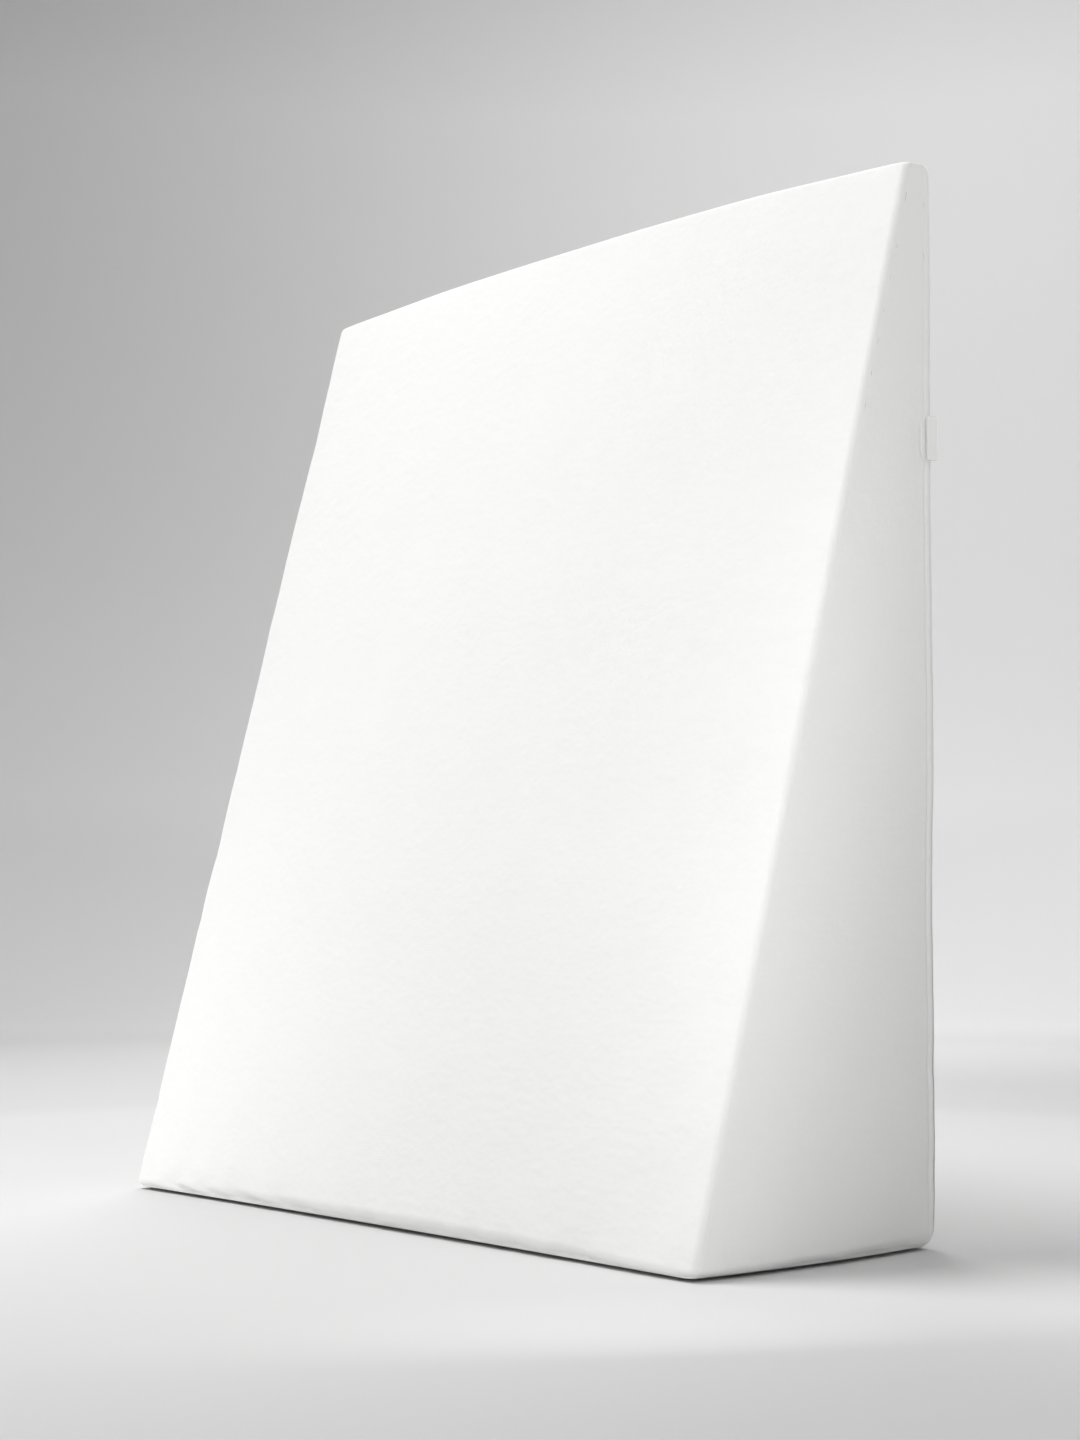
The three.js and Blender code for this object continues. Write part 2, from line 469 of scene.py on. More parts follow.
        places = [
            ((reach - front_round) * panel, 0 * reach * panel),
            (reach - front_round * (1 - np.sin(angle)), front_part * (1 - np.cos(angle))),
            (reach + swell, front_part + (1 - front_part - rear_part) * side),
            (
                reach - rear_round * (1 - np.cos(rear_angle)),
                1 - rear_part * (1 - np.sin(rear_angle)),
            ),
            ((reach - rear_round) * back, 1 + 0 * reach * back),
        ]
        xs, parts = zip(*places)
        return np.concatenate(xs, axis=1), np.concatenate(parts, axis=1)

    def surface(self) -> np.ndarray:
        """Every grid point: its row's front end plus part of the way to the rear end.

        The left-hand half mirrors the right-hand one, and the foot's rows shrink to a point.

        Returns:
            Rows by columns by xyz.
        """
        x, part = self.half_section()
        x = np.concatenate([x, -x[:, -2:0:-1]], axis=1)
        part = np.concatenate([part, part[:, -2:0:-1]], axis=1)
        across = np.clip(2 * x / self.sizes.width, -1, 1)
        front_y, front_z, rear_y, rear_z = self.row_ends(across)
        y = front_y + (rear_y - front_y) * part
        z = front_z + (rear_z - front_z) * part
        points = np.stack([x, y, z], axis=-1)
        ring = 1 - (1 - self.share) ** self.FOOT_RINGS_OUTWARD
        inward = np.where(self.stretch == Stretch.FOOT, ring, 1.0)[..., None]
        return points * np.concatenate([inward, inward, np.ones_like(inward)], axis=-1)

    def cloth_coordinates(self, points: np.ndarray) -> np.ndarray:
        """Where each cell's corners lie on the flat panel that it is cut from.

        The slope and the back, with their rounds, count across by x and up by the climb of
        the row. The sides count across by y and up by z.

        Args:
            points: The grid.

        Returns:
            Rows - 1 by columns by four corners by two, in metres.
        """
        wrapped = np.stack([points[..., 0], climbs(points)], axis=-1)
        sides = np.stack([points[..., 1] + self.sizes.width, points[..., 2]], axis=-1)
        on_side = np.isin(self.cell_panels, (Panel.SIDE_RIGHT, Panel.SIDE_LEFT))
        on_side = on_side[None, :, None, None]
        return np.where(on_side, cell_corners(sides), cell_corners(wrapped))


@dataclass(frozen=True)
class SettledCover:
    """How the cover's cloth is settled: air inside presses it out between its seams."""

    rows: int = 3
    columns: int = 2
    frames: int = 20
    quality: int = 6
    pressure: float = 4.0
    mass: float = 0.3
    tension: float = 25.0
    bending: float = 2.0
    looseness: float = 0.004
    most: float = 4 * MM
    start_crown: float = 1.5 * MM
    start_side_crown: float = 7.5 * MM
    EDGES = (
        Panel.FRONT_ROUND_RIGHT,
        Panel.REAR_ROUND_RIGHT,
        Panel.REAR_ROUND_LEFT,
        Panel.FRONT_ROUND_LEFT,
    )

    def swell(self, sizes: WedgeSizes, steps: Steps) -> tuple[WedgeSizes, np.ndarray]:
        """Runs the cloth on a thinned grid and reads off how far each point moved.

        The foot, the rounded edges and the thin end are held, so that each panel swells
        between its edges. All moves are scaled so that the longest is most.

        Args:
            sizes: Sizes of the wedge.
            steps: The full grid.

        Returns:
            The sizes that the cloth starts from, and the move of every point of the full grid.
        """
        slack = replace(
            sizes,
            slope_crown=self.start_crown,
            back_crown=self.start_crown,
            side_crown=self.start_side_crown,
        )
        form = WedgeForm(slack, steps.thinned(self.rows, self.columns))
        points = form.surface()
        held = np.zeros(points.shape[:2])
        held[:, np.isin(form.cell_panels, self.EDGES)] = 1.0
        held[:, form.front_seams + form.rear_seams] = 1.0
        held[form.stretch[:, 0] != Stretch.BODY] = 1.0
        cloth = closed_mesh("settling_cloth", points, points)
        group = cloth.vertex_groups.new(name="held")
        group.add(np.flatnonzero(vertex_values(points, held) > 0).tolist(), 1.0, "REPLACE")
        modifier = cloth.modifiers.new("settle", "CLOTH")
        settings = modifier.settings
        settings.quality = self.quality
        settings.mass = self.mass
        settings.tension_stiffness = settings.compression_stiffness = self.tension
        settings.bending_stiffness = self.bending
        settings.use_pressure = True
        settings.uniform_pressure_force = self.pressure
        settings.shrink_min = -self.looseness
        settings.vertex_group_mass = group.name
        settings.effector_weights.gravity = 0.0
        modifier.point_cache.frame_start, modifier.point_cache.frame_end = 1, self.frames
        scene = bpy.context.scene
        for number in range(1, self.frames + 1):
            scene.frame_set(number)
        settled = cloth.evaluated_get(bpy.context.evaluated_depsgraph_get()).data
        places = np.empty(len(settled.vertices) * 3, np.float32)
        settled.vertices.foreach_get("co", places)
        start = np.empty_like(places)
        cloth.data.vertices.foreach_get("co", start)
        move = (places - start).reshape(-1, 3)[vertex_ids(points)]
        bpy.data.objects.remove(cloth)
        scene.frame_set(1)
        longest = float(np.linalg.norm(move, axis=2).max())
        fine = refined(move * min(1.0, self.most / longest), self.rows, closed=False)
        fine = refined(fine.transpose(1, 0, 2), self.columns, closed=True).transpose(1, 0, 2)
        log.info("cloth settled: longest move %.1f mm", longest / MM)
        return slack, fine


@dataclass(frozen=True)
class SeamRelief:
    """The seams that join the side panels to the rest, and the foot to the panels above it."""

    front_depth: float = 0.08 * MM
    rear_depth: float = 0.4 * MM
    back_depth: float = 0.7 * MM
    base_depth: float = 0.5 * MM
    width: float = 0.9 * MM
    roll_share: float = 0.4
    roll_at: float = 3.0 * MM
    roll_width: float = 2.0 * MM
    base_seam_height: float = 3 * MM
    gap_height: float = 1.6 * MM
    gap_reach: float = 16 * MM
    pucker: float = 0.35 * MM
    pucker_length: float = 5 * MM
    pucker_reach: float = 11 * MM
    pucker_count: int = 150
    foot_pucker_size: float = 1.8
    foot_pucker_deeper: float = 3.2
    upright_seed: int = 100
    foot_seed: int = 200
    fade_from_share: float = 0.9
    fade_length: float = 100 * MM

    def profile(self, distance: np.ndarray, depth: float) -> np.ndarray:
        """Height across a seam of this depth: a narrow groove with a soft roll on each side."""
        rolls = self.roll_share * hump(np.abs(distance) - self.roll_at, self.roll_width)
        return depth * (rolls - hump(distance, self.width))

    def puckers(
        self,
        along: np.ndarray,
        distance: np.ndarray,
        seed: int,
        size: float = 1.0,
        deeper: float = 1.0,
    ) -> np.ndarray:
        """Short uneven dents square to a seam, where the stitching draws the cloth in.

        Each is a hump along the seam, of its own place, length and depth, that fades with the
        distance from the seam.

        Args:
            along: Place of each grid point along the seam.
            distance: Its distance from the seam.
            seed: Start of the random draw.
            size: How much longer and deeper than usual they are.
            deeper: How much deeper again.

        Returns:
            The height at each grid point, zero or less.
        """
        draw = np.random.default_rng(seed)
        low, high = float(along.min()), float(along.max())
        place = draw.uniform(low, high, self.pucker_count)
        length = size * self.pucker_length * draw.uniform(0.8, 1.9, self.pucker_count)
        depth = size * deeper * self.pucker * draw.uniform(0.1, 1.0, self.pucker_count) ** 2
        reach = self.pucker_reach * draw.uniform(0.4, 1.5, self.pucker_count)
        height = np.zeros_like(distance)
        for at, long, deep, far in zip(place, length, depth, reach):
            height -= deep * hump(along - at, long) * np.exp(-np.abs(distance) / far)
        return height


class WedgePillow:
    """The filled wedge in its cover, as one padded piece."""

    NODE = "wedge_pillow"
    NAME = "pillow_cover"

    def __init__(self, steps: Steps, settling: SettledCover, seams: SeamRelief) -> None:
        """Takes the sizes from the frame.

        Args:
            steps: Cells of the grid.
            settling: How the cloth is settled.
            seams: The seams' relief.
        """
        self.sizes = WedgeSizes.from_frame(self.NODE)
        self.steps, self.settling, self.seams = steps, settling, seams
        self.unevenness = 0.35 * MM
        self.unevenness_waves = 14
        self.unevenness_pitch = (90 * MM, 260 * MM)
        self.unevenness_seed = 11
        self.even_below = 40 * MM
        self.crease_depth = 1.4 * MM
        self.crease_at = 2.4 * MM
        self.crease_width = 1.6 * MM
        self.crease_end = 6 * MM
        self.crease_wide_share = 0.4

    def foam_unevenness(self, points: np.ndarray) -> np.ndarray:
        """Low soft waves of the foam under the cloth: a mean of sines in random directions."""
        draw = np.random.default_rng(self.unevenness_seed)
        height = np.zeros(points.shape[:2])
        for _ in range(self.unevenness_waves):
            direction = draw.normal(size=3)
            pitch = draw.uniform(*self.unevenness_pitch)
            turn = points @ (direction / np.linalg.norm(direction)) * (2 * math.pi / pitch)
            height += np.sin(turn + draw.uniform(0, 2 * math.pi))
        return self.unevenness * height / math.sqrt(self.unevenness_waves)

    def relief(self, form: WedgeForm, points: np.ndarray) -> tuple[np.ndarray, ...]:
        """Height of the seams, puckers and unevenness above the plain surface.

        Args:
            form: The grid's rows and columns.
            points: The grid.

        Returns:
            The height at each grid point, its distance from the nearest seam and from the
            nearest back seam.
        """
        seams = self.seams
        step = np.linalg.norm(np.roll(points, -1, axis=1) - points, axis=2)
        around = np.cumsum(step, axis=1) - step
        first = self.steps.foot
        climb = climbs(points)
        climb = climb - climb[first]
        seam_row = first + int(np.argmax(points[first:, 0, 2] > seams.base_seam_height))
        below = climb - climb[seam_row]
        height = np.zeros(points.shape[:2])
        nearest = np.abs(below)
        whole = around[:, -1:] + step[:, -1:]
        upright = form.stretch >= Stretch.BASE

        def across(column: int) -> np.ndarray:
            """Distance of each grid point from a column, the short way round."""
            distance = around - around[:, column : column + 1]
            return distance - whole * np.round(distance / np.maximum(whole, MM))

        depths = [seams.front_depth] * 2 + [seams.rear_depth] * 2
        for seed, column in enumerate([*form.front_seams, *form.rear_seams]):
            distance = across(column)
            height += seams.profile(distance, depths[seed]) * upright
            pinched = seams.puckers(points[..., 2], distance, seams.upright_seed + seed)
            height += pinched * upright
            nearest = np.minimum(nearest, np.abs(distance))
        from_back = np.min([np.abs(across(column)) for column in form.back_seams], axis=0)
        height += seams.profile(from_back, seams.back_depth) * upright
        fade_from = self.sizes.height * seams.fade_from_share
        fade = smooth_step((fade_from - points[..., 2]) / seams.fade_length)
        height += seams.profile(below, seams.base_depth) * fade
        deeper = (seams.foot_pucker_size, seams.foot_pucker_deeper)
        height += seams.puckers(around, below, seams.foot_seed, *deeper) * fade * (below > 0)
        height += self.dent_beside_label(form, around, points)
        height += self.foam_unevenness(points) * smooth_step(points[..., 2] / self.even_below)
        lying = form.stretch == Stretch.FOOT
        return np.where(lying, 0.0, height), nearest, from_back

    def dent_beside_label(
        self, form: WedgeForm, around: np.ndarray, points: np.ndarray
    ) -> np.ndarray:
        """The crease in the side panel where the label's stitching pulls the seam in.

        A narrow hollow just in front of the seam, as long as the label, with soft ends.

        Args:
            form: The grid's rows and columns.
            around: Length round each row.
            points: The grid.

        Returns:
            The height at each grid point, zero or less.
        """
        low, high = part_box(SideLabel.NODE)
        seam = form.rear_seams[0]
        distance = around - around[:, seam : seam + 1] + self.crease_at
        z = points[..., 2]
        ends = smooth_step((z - low.z) / self.crease_end)
        ends = ends * smooth_step((high.z - z) / self.crease_end)
        wide = self.crease_wide_share * hump(distance + 2 * self.crease_at, 4 * self.crease_width)
        return -self.crease_depth * ends * (hump(distance, self.crease_width) + wide)

    def lifted_foot(self, form: WedgeForm, points: np.ndarray) -> np.ndarray:
        """How far the edge of the foot is drawn up off the floor, under its seam.

        The lift is gap_height at the lowest rows of the base round and dies out inwards over
        gap_reach. Above them it fades over the base round.

        Args:
            form: The grid's rows and columns.
            points: The grid.

        Returns:
            The lift at each grid point.
        """
        seams = self.seams
        outline = points[self.steps.foot]
        inward = np.linalg.norm(points[..., :2] - outline[None, :, :2], axis=2)
        on_foot = smooth_step(1 - inward / seams.gap_reach)
        above = smooth_step(1 - points[..., 2] / seams.base_seam_height)
        return seams.gap_height * np.where(form.stretch == Stretch.FOOT, on_foot, above)

    def build(self, finish: "CoverKnit") -> bpy.types.Object:
        """Makes the cover's mesh, dresses it and puts it in the CAD solid's place.

        Args:
            finish: The cover's cloth.

        Returns:
            The piece.
        """
        sizes, move = self.sizes, 0.0
        sizes, move = self.settling.swell(self.sizes, self.steps)
        form = WedgeForm(sizes, self.steps)
        plain = form.surface()
        points = plain + move
        height, nearest, from_back = self.relief(form, points)
        final = points + grid_normals(points) * height[..., None]
        final[..., 2] = np.maximum(final[..., 2], 0.0) + self.lifted_foot(form, plain)
        piece = closed_mesh(self.NAME, plain, final, form.cloth_coordinates(points))
        for name, distance in (("seam_distance", nearest), ("back_seam_distance", from_back)):
            attribute = piece.data.attributes.new(name, "FLOAT", "POINT")
            values = -vertex_values(plain, -distance)
            attribute.data.foreach_set("value", values.astype(np.float32))
        piece.data.materials.append(finish.material())
        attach(piece, "root")
        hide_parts(self.NODE)
        return piece


class SideLabel:
    """A short blank tape, folded back on itself and caught in the right-hand rear seam."""

    NODE = "side_label"
    NAME = "seam_label"

    def __init__(self) -> None:
        """Takes its place from the frame."""
        self.low, self.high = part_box(self.NODE)
        self.lean = math.radians(6)
        self.layer = 0.7 * MM
        self.space = 1.1 * MM
        self.fold_space = 0.5 * MM
        self.steps_leg = 12
        self.steps_fold = 12
        self.steps_height = 28
        self.steps_edge = 5
        self.curl = 0.35 * MM
        self.curl_turn = 2.2

    def path(self) -> np.ndarray:
        """The tape's middle line seen from above: in along one layer, round the fold and back.

        The two legs part by the space between them, and the fold is half a circle.

        Returns:
            Points by (stand-off, reach) from the seam, in metres.
        """
        reach = self.high.y - self.low.y
        radius = self.space / 2
        start = self.fold_space / 2
        leg = np.linspace(0, 1, self.steps_leg, endpoint=False)
        away = start + (radius - start) * smooth_step(leg)
        end = reach - radius - self.layer / 2
        turn = np.linspace(0, math.pi, self.steps_fold + 1)
        there = np.stack([-away, end * leg], axis=-1)
        fold = np.stack([-radius * np.cos(turn), end + radius * np.sin(turn)], axis=-1)
        back = np.stack([away, end * leg], axis=-1)[::-1]
        return np.concatenate([there, fold, back])

    def surface(self) -> np.ndarray:
        """The tape's thin upright section, with round edges, carried along its path.

        Returns:
            Grid of points, path by section by xyz, pinched at both ends.
        """
        path = self.path()
        along = np.gradient(path, axis=0)
        along /= np.linalg.norm(along, axis=1, keepdims=True)
        across = np.stack([along[:, 1], -along[:, 0]], axis=-1)
        half, tall = self.layer / 2, (self.high.z - self.low.z) / 2
        rise = np.linspace(-1, 1, self.steps_height + 1)
        edge = np.linspace(0, math.pi, self.steps_edge + 1)[1:-1]
        thick = np.concatenate(
            [np.ones_like(rise), np.cos(edge), -np.ones_like(rise), -np.cos(edge)]
        )
        height = np.concatenate(
            [rise * (tall - half), tall - half + half * np.sin(edge),
             -rise * (tall - half), half - tall - half * np.sin(edge)]
        )
        section = np.concatenate([[0.0], np.ones(len(path)), [0.0]])
        path, across = (np.concatenate([v[:1], v, v[-1:]]) for v in (path, across))
        flat = path[:, None] + across[:, None] * (section[:, None] * thick * half)[..., None]
        reach = flat[..., 1]
        curl = np.sin(height / tall * self.curl_turn)
        curl = self.curl * (reach / (self.high.y - self.low.y)) ** 2 * curl
        off = flat[..., 0] + curl
        root_x = self.low.x + self.space / 2 + self.layer / 2
        x = root_x + off * math.cos(self.lean) + reach * math.sin(self.lean)
        y = self.low.y + reach * math.cos(self.lean) - off * math.sin(self.lean)
        z = (self.low.z + self.high.z) / 2 + height + 0 * reach
        return np.stack([x, y, z], axis=-1)

    def build(self, finish: "LabelTape") -> bpy.types.Object:
        """Makes the label's mesh, dresses it and puts it in the CAD solid's place."""
        grid = self.surface()
        length = climbs(grid)[:, :1]
        flat = np.stack([length + 0 * grid[..., 2], grid[..., 2]], axis=-1)
        piece = closed_mesh(self.NAME, grid, grid, cell_corners(flat))
        piece.data.materials.append(finish.material())
        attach(piece, "root")
        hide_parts(self.NODE)
        return piece


# Finishes


class Graph:
    """A node tree, with short calls that add a node and join its inputs."""

    def __init__(self, tree: bpy.types.NodeTree) -> None:
        """Keeps the tree."""
        self.tree = tree

    def join(self, value: object, socket: bpy.types.NodeSocket) -> None:
        """Links a socket to an input, or sets the input to a plain value."""
        if isinstance(value, bpy.types.NodeSocket):
            self.tree.links.new(value, socket)
        else:
            socket.default_value = value

    def add(self, kind: str, inputs: dict | None = None, **settings: object) -> bpy.types.Node:
        """Adds a node.

        Args:
            kind: Its type.
            inputs: Values or sockets by input name or number.
            settings: Properties of the node.

        Returns:
            The node.
        """
        node = self.tree.nodes.new(kind)
        for name, value in settings.items():
            setattr(node, name, value)
        for name, value in (inputs or {}).items():
            self.join(value, node.inputs[name])
        return node

    def math(self, operation: str, *values: object) -> bpy.types.NodeSocket:
        """Adds a Math node and returns its output."""
        node = self.add("ShaderNodeMath", dict(enumerate(values)), operation=operation)
        return node.outputs[0]

    def noise(self, place: object, scale: object, detail: float) -> bpy.types.NodeSocket:
        """Adds a noise texture and returns its value."""
        given = {"Vector": place, "Scale": scale, "Detail": detail}
        return self.add("ShaderNodeTexNoise", given).outputs[0]

    def mix(self, share: object, first: object, second: object) -> bpy.types.NodeSocket:
        """Adds a Mix node for two colours and returns its output."""
        node = self.add("ShaderNodeMix", {0: share, 6: first, 7: second}, data_type="RGBA")
        return node.outputs[2]

    def attribute(self, name: str) -> bpy.types.NodeSocket:
        """Reads one of the mesh's own values."""
        return self.add("ShaderNodeAttribute", attribute_name=name).outputs["Fac"]

    def remap(self, value: object, low: float, high: float, start: float, end: float) -> object:
        """Carries low..high to start..end smoothly, and holds it there outside."""
        node = self.add(
            "ShaderNodeMapRange",
            {0: value, 1: low, 2: high, 3: start, 4: end},
            interpolation_type="SMOOTHSTEP",
        )
        return node.outputs[0]


def new_material(name: str, inputs: dict) -> tuple[bpy.types.Material, Graph, bpy.types.Node]:
    """Starts a material.

    Args:
        name: Its name.
        inputs: Plain values for its shader's inputs, by input name.

    Returns:
        The material, its graph and its shader.
    """
    material = bpy.data.materials.new(name)
    material.use_nodes = True
    shader = material.node_tree.nodes["Principled BSDF"]
    for label, value in inputs.items():
        shader.inputs[label].default_value = value
    return material, Graph(material.node_tree), shader


def node_group(
    name: str, inputs: dict, outputs: tuple
) -> tuple[bpy.types.NodeTree, Graph, object, object]:
    """Starts a shader node group.

    Args:
        name: Its name.
        inputs: Socket type and starting value by name.
        outputs: Names of its float outputs.

    Returns:
        The tree, its graph, and its input and output nodes.
    """
    tree = bpy.data.node_groups.new(name, "ShaderNodeTree")
    for label, (kind, value) in inputs.items():
        socket = tree.interface.new_socket(name=label, in_out="INPUT", socket_type=kind)
        if value is not None:
            socket.default_value = value
    for label in outputs:
        tree.interface.new_socket(name=label, in_out="OUTPUT", socket_type="NodeSocketFloat")
    graph = Graph(tree)
    return tree, graph, graph.add("NodeGroupInput"), graph.add("NodeGroupOutput")


@cache
def fine_knit_group() -> bpy.types.NodeTree:
    """Rows of small knitted loops, built once.

    Two legs stand on each rib of the cloth. A leg's height is a round across it, times a
    wave along it that is pushed back towards the rib's edges, so that each pair makes a V.

    Returns:
        The group, with outputs Height (0 to 1) and Hollow (1 between the loops), which the
        materials use to paint shade between the loops.
    """
    tree, graph, given, out = node_group(
        "fine_knit",
        {
            "Cloth": ("NodeSocketVector", None),
            "Pitch": ("NodeSocketFloat", 0.0016),
            "Uneven": ("NodeSocketFloat", 0.25),
        },
        ("Height", "Hollow"),
    )
    cloth, pitch = given.outputs["Cloth"], given.outputs["Pitch"]
    drift = graph.noise(cloth, 90.0, 1.0)
    shift = graph.math("MULTIPLY", graph.math("SUBTRACT", drift, 0.5), given.outputs["Uneven"])
    parts = graph.add("ShaderNodeSeparateXYZ", {0: cloth})
    across = graph.math("DIVIDE", parts.outputs[0], pitch)
    across = graph.math("ADD", across, shift)
    along = graph.math("DIVIDE", parts.outputs[1], graph.math("MULTIPLY", pitch, 0.8))
    from_rib = graph.math("ABSOLUTE", graph.math("SUBTRACT", graph.math("FRACT", across), 0.5))
    off_leg = graph.math("DIVIDE", graph.math("SUBTRACT", from_rib, 0.25), 0.25)
    leg = graph.math("SUBTRACT", 1.0, graph.math("MULTIPLY", off_leg, off_leg))
    phase = graph.math("MULTIPLY", graph.math("SUBTRACT", along, from_rib), 2 * math.pi)
    loop = graph.math("MULTIPLY_ADD", graph.math("COSINE", phase), 0.4, 0.6)
    height = graph.math("MULTIPLY", leg, loop)
    graph.join(height, out.inputs["Height"])
    # Hollow is 1 between the loops, where it paints shade into the colour.
    graph.join(graph.remap(height, 0.0, 0.35, 1.0, 0.0), out.inputs["Hollow"])
    return tree


@cache
def mottle_group() -> bpy.types.NodeTree:
    """Soft clouds of thicker and thinner cloth, built once.

    Returns:
        The group, with output Cloud (0 to 1).
    """
    tree, graph, given, out = node_group(
        "cloth_mottle",
        {
            "Place": ("NodeSocketVector", None),
            "Small": ("NodeSocketFloat", 220.0),
            "Large": ("NodeSocketFloat", 26.0),
        },
        ("Cloud",),
    )
    place = given.outputs["Place"]
    small = graph.noise(place, given.outputs["Small"], 2.0)
    large = graph.noise(place, given.outputs["Large"], 3.0)
    cloud = graph.math("MULTIPLY_ADD", small, 0.45, graph.math("MULTIPLY", large, 0.55))
    graph.join(cloud, out.inputs["Cloud"])
    return tree


@dataclass(frozen=True)
class Cloth:
    """What the cover's cloth and the label's tape have in common."""

    name: str
    colour: tuple[float, float, float]
    # Colour of the random clouds and of the painted shade in the knit's hollows.
    shade: tuple[float, float, float]
    roughness: float
    sheen: float
    pitch: float
    loop_depth: float
    cloud_depth: float
    # Colour of the dark line of painted shade along seams.
    painted_seam_shade_colour: tuple[float, float, float]

    def start(self) -> tuple[bpy.types.Material, Graph, object, object]:
        """Starts the material and sets what is the same all over the cloth.

        Returns:
            The material, its graph, its shader and the placed knit group.
        """
        soft = {"Sheen Weight": self.sheen, "Sheen Roughness": 0.55, "Specular IOR Level": 0.25}
        material, graph, shader = new_material(self.name, soft)
        uv = graph.add("ShaderNodeUVMap", uv_map="cloth")
        placed = {"Cloth": uv.outputs[0], "Pitch": self.pitch}
        knit = graph.add("ShaderNodeGroup", placed, node_tree=fine_knit_group())
        return material, graph, shader, knit

    def dress(
        self, graph: Graph, shader: object, knit: object, extra: object, painted_shade: object = 0.0
    ) -> None:
        """Joins colour, roughness and bump. The colour gets painted shade in the knit's hollows,
        mixed with random clouds of cloth tone.

        Args:
            graph: The material's graph.
            shader: Its shader.
            knit: The placed knit group.
            extra: More height in millimetres, or zero.
            painted_shade: How strongly painted shade darkens the place along a seam, from 0 to 1.
        """
        place = graph.add("ShaderNodeTexCoord").outputs["Object"]
        mottle = graph.add("ShaderNodeGroup", {"Place": place}, node_tree=mottle_group())
        cloud = mottle.outputs["Cloud"]
        half = graph.math("MULTIPLY", cloud, 0.5)
        # Painted shade in the knit's hollows, half and half with random clouds of thicker and
        # thinner cloth.
        tone = graph.math("MULTIPLY_ADD", knit.outputs["Hollow"], 0.5, half)
        colour = graph.mix(tone, (*self.colour, 1.0), (*self.shade, 1.0))
        # Painted shade: darkens the colour towards dark grey along the back seams.
        colour = graph.mix(painted_shade, colour, (*self.painted_seam_shade_colour, 1.0))
        graph.join(colour, shader.inputs["Base Color"])
        rough = graph.remap(cloud, 0.3, 0.7, self.roughness - 0.04, self.roughness + 0.04)
        graph.join(rough, shader.inputs["Roughness"])
        height = graph.math("MULTIPLY_ADD", knit.outputs["Height"], self.loop_depth / MM, extra)
        height = graph.math("MULTIPLY_ADD", cloud, self.cloud_depth / MM, height)
        bump = graph.add("ShaderNodeBump", {"Height": height, "Distance": MM, "Strength": 1.0})
        graph.join(bump.outputs[0], shader.inputs["Normal"])


@dataclass(frozen=True)
class CoverKnit(Cloth):
    """The cover's smooth white knit, drawn into small dents beside its seams.

    A dark line of painted shade runs along the back seams, strongest at the foot and fading out
    higher up.
    """

    name: str = "cover_white_knit"
    colour: tuple[float, float, float] = (0.9, 0.9, 0.89)
    # Colour of the random clouds and of the painted shade in the knit's hollows.
    shade: tuple[float, float, float] = (0.84, 0.84, 0.83)
    roughness: float = 0.88
    sheen: float = 0.15
    pitch: float = 1.7 * MM
    loop_depth: float = 0.06 * MM
    cloud_depth: float = 0.4 * MM
    # A dark line of painted shade along the back seams: its colour, its width and the height where
    # it has faded out.
    painted_seam_shade_colour: tuple[float, float, float] = (0.12, 0.12, 0.12)
    painted_shade_width: float = 2.2 * MM
    painted_shade_top: float = 0.36
    dent_depth: float = 0.5 * MM
    dent_reach: float = 13 * MM
    dent_scale: tuple[float, float, float] = (0.45, 0.45, 1.0)
    dimple_depth: float = 0.35 * MM
    dimple_scale: tuple[float, float, float] = (0.6, 0.6, 1.0)

    def material(self) -> bpy.types.Material:
        """Builds the material: knit, clouds, soft dimples, dents by the seams and a dark line of
        painted shade along the back seams.
        """
        material, graph, shader, knit = self.start()
        near = graph.remap(graph.attribute("seam_distance"), 0.0, self.dent_reach, 1.0, 0.0)
        place = graph.add("ShaderNodeTexCoord").outputs["Object"]
        longer = graph.add("ShaderNodeMapping", {"Vector": place, "Scale": self.dent_scale})
        dents = graph.noise(longer.outputs[0], 150.0, 2.0)
        dent = graph.math("MULTIPLY", graph.math("MULTIPLY", dents, near), self.dent_depth / MM)
        wider = graph.add("ShaderNodeMapping", {"Vector": place, "Scale": self.dimple_scale})
        dimples = graph.noise(wider.outputs[0], 130.0, 1.0)
        dent = graph.math("MULTIPLY_ADD", dimples, self.dimple_depth / MM, dent)
        # Painted shade along the back seams, strongest at the floor and fading out with height.
        off = graph.attribute("back_seam_distance")
        line = graph.remap(off, 0.0, self.painted_shade_width, 1.0, 0.0)
        height = graph.add("ShaderNodeSeparateXYZ", {0: place}).outputs[2]
        low = graph.remap(height, 0.0, self.painted_shade_top, 1.0, 0.0)
        painted_shade = graph.math("MULTIPLY", line, low)
        self.dress(graph, shader, knit, dent, painted_shade)
        return material


@dataclass(frozen=True)
class LabelTape(Cloth):
    """The label's blank tape: finer and a little greyer than the cover."""

    name: str = "label_white_tape"
    colour: tuple[float, float, float] = (0.93, 0.93, 0.92)
    # Colour of the random clouds and of the painted shade in the knit's hollows.
    shade: tuple[float, float, float] = (0.88, 0.88, 0.87)
    roughness: float = 0.7
    sheen: float = 0.1
    pitch: float = 0.8 * MM
    loop_depth: float = 0.05 * MM
    cloud_depth: float = 0.1 * MM
    # Colour of painted seam shade, which the label does not get.
    painted_seam_shade_colour: tuple[float, float, float] = (0.3, 0.3, 0.3)

    def material(self) -> bpy.types.Material:
        """Builds the material."""
        material, graph, shader, knit = self.start()
        self.dress(graph, shader, knit, 0.0)
        return material


# The camera and the studio


